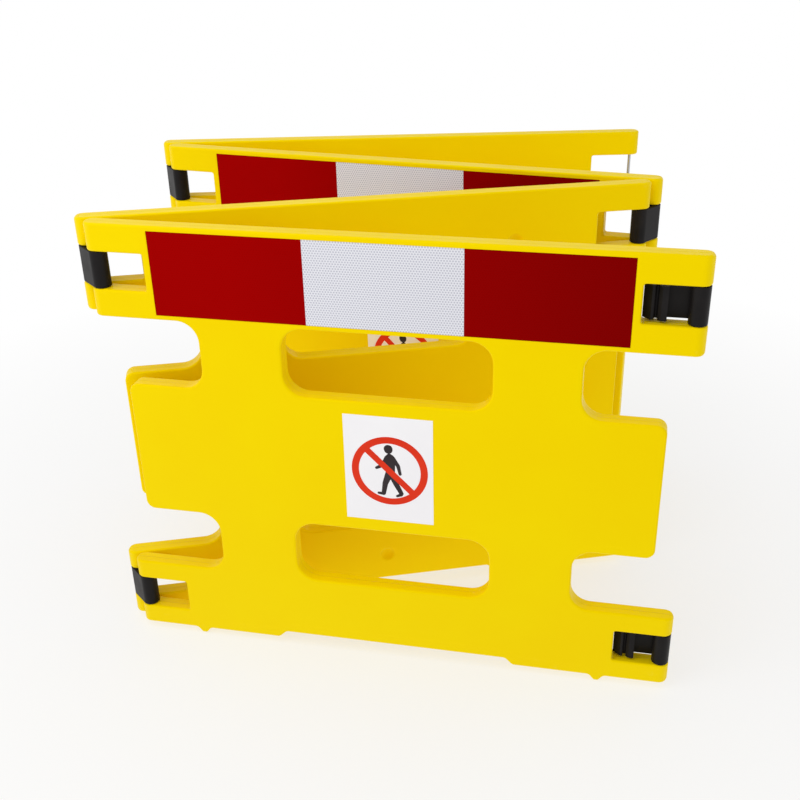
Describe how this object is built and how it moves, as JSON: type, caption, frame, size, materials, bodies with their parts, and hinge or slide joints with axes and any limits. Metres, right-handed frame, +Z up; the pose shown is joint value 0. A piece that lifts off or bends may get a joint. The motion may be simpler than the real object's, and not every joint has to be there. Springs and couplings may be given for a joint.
{
  "type": "folding barrier",
  "caption": "Zig-zag folding road barrier of hollow yellow panels with red and white reflective stripes, pinned hinge links and snap clips for joining another barrier.",
  "frame": {"origin": "middle of the standing barrier's box, on the floor, in the zig-zag of the picture", "axes": "+X along the first panel from its fold to its clip end, +Y from the first panel to the last, +Z up"},
  "size_m": [0.8656, 0.6448, 0.6442],
  "materials": {
    "yellow_plastic": "satin moulded polyethylene",
    "black_plastic": "satin moulded polymer",
    "steel": "drawn bar",
    "rubber": "matt",
    "red_film": "reflective sheeting",
    "white_film": "reflective honeycomb sheeting",
    "sign_vinyl": "printed vinyl"
  },
  "bodies": {
    "panel_1": {"panel_1_moulding": "yellow_plastic", "panel_1_left_pins": "steel", "panel_1_right_pins": "steel", "panel_1_feet": "rubber", "panel_1_red_films": "red_film", "panel_1_white_film": "white_film", "panel_1_sign_label": "sign_vinyl"},
    "panel_2": {"panel_2_moulding": "yellow_plastic", "panel_2_left_pins": "steel", "panel_2_right_pins": "steel", "panel_2_feet": "rubber", "panel_2_red_films": "red_film", "panel_2_white_film": "white_film", "panel_2_sign_label": "sign_vinyl", "link_12_top": "black_plastic", "link_12_bottom": "black_plastic"},
    "panel_3": {"panel_3_moulding": "yellow_plastic", "panel_3_left_pins": "steel", "panel_3_right_pins": "steel", "panel_3_feet": "rubber", "panel_3_red_films": "red_film", "panel_3_white_film": "white_film", "panel_3_sign_label": "sign_vinyl", "link_23_top": "black_plastic", "link_23_bottom": "black_plastic"},
    "panel_4": {"panel_4_moulding": "yellow_plastic", "panel_4_left_pins": "steel", "panel_4_right_pins": "steel", "panel_4_feet": "rubber", "panel_4_red_films": "red_film", "panel_4_white_film": "white_film", "panel_4_sign_label": "sign_vinyl", "link_34_top": "black_plastic", "link_34_bottom": "black_plastic"},
    "end_clip_top": {"end_clip_top": "black_plastic"},
    "end_clip_bottom": {"end_clip_bottom": "black_plastic"}
  },
  "joints": [
    {"name": "fold_12", "type": "hinge", "parent": "panel_1", "child": "panel_2", "pos_m": [-0.34471, -0.30947, 0.5802], "axis": [0, 0, 1], "range_deg": [-20.6, 158]},
    {"name": "fold_23", "type": "hinge", "parent": "panel_2", "child": "panel_3", "pos_m": [0.34368, -0.00815, 0.5802], "axis": [0, 0, -1], "range_deg": [-26.4, 152]},
    {"name": "fold_34", "type": "hinge", "parent": "panel_3", "child": "panel_4", "pos_m": [-0.40094, 0.09335, 0.5802], "axis": [0, 0, 1], "range_deg": [-19.5, 159]},
    {"name": "end_clip_top_swing", "type": "hinge", "parent": "panel_1", "child": "end_clip_top", "pos_m": [0.42029, -0.30947, 0.5802], "axis": [0, 0, 1], "continuous": true},
    {"name": "end_clip_bottom_swing", "type": "hinge", "parent": "panel_1", "child": "end_clip_bottom", "pos_m": [0.42029, -0.30947, 0.06695], "axis": [0, 0, 1], "continuous": true}
  ]
}
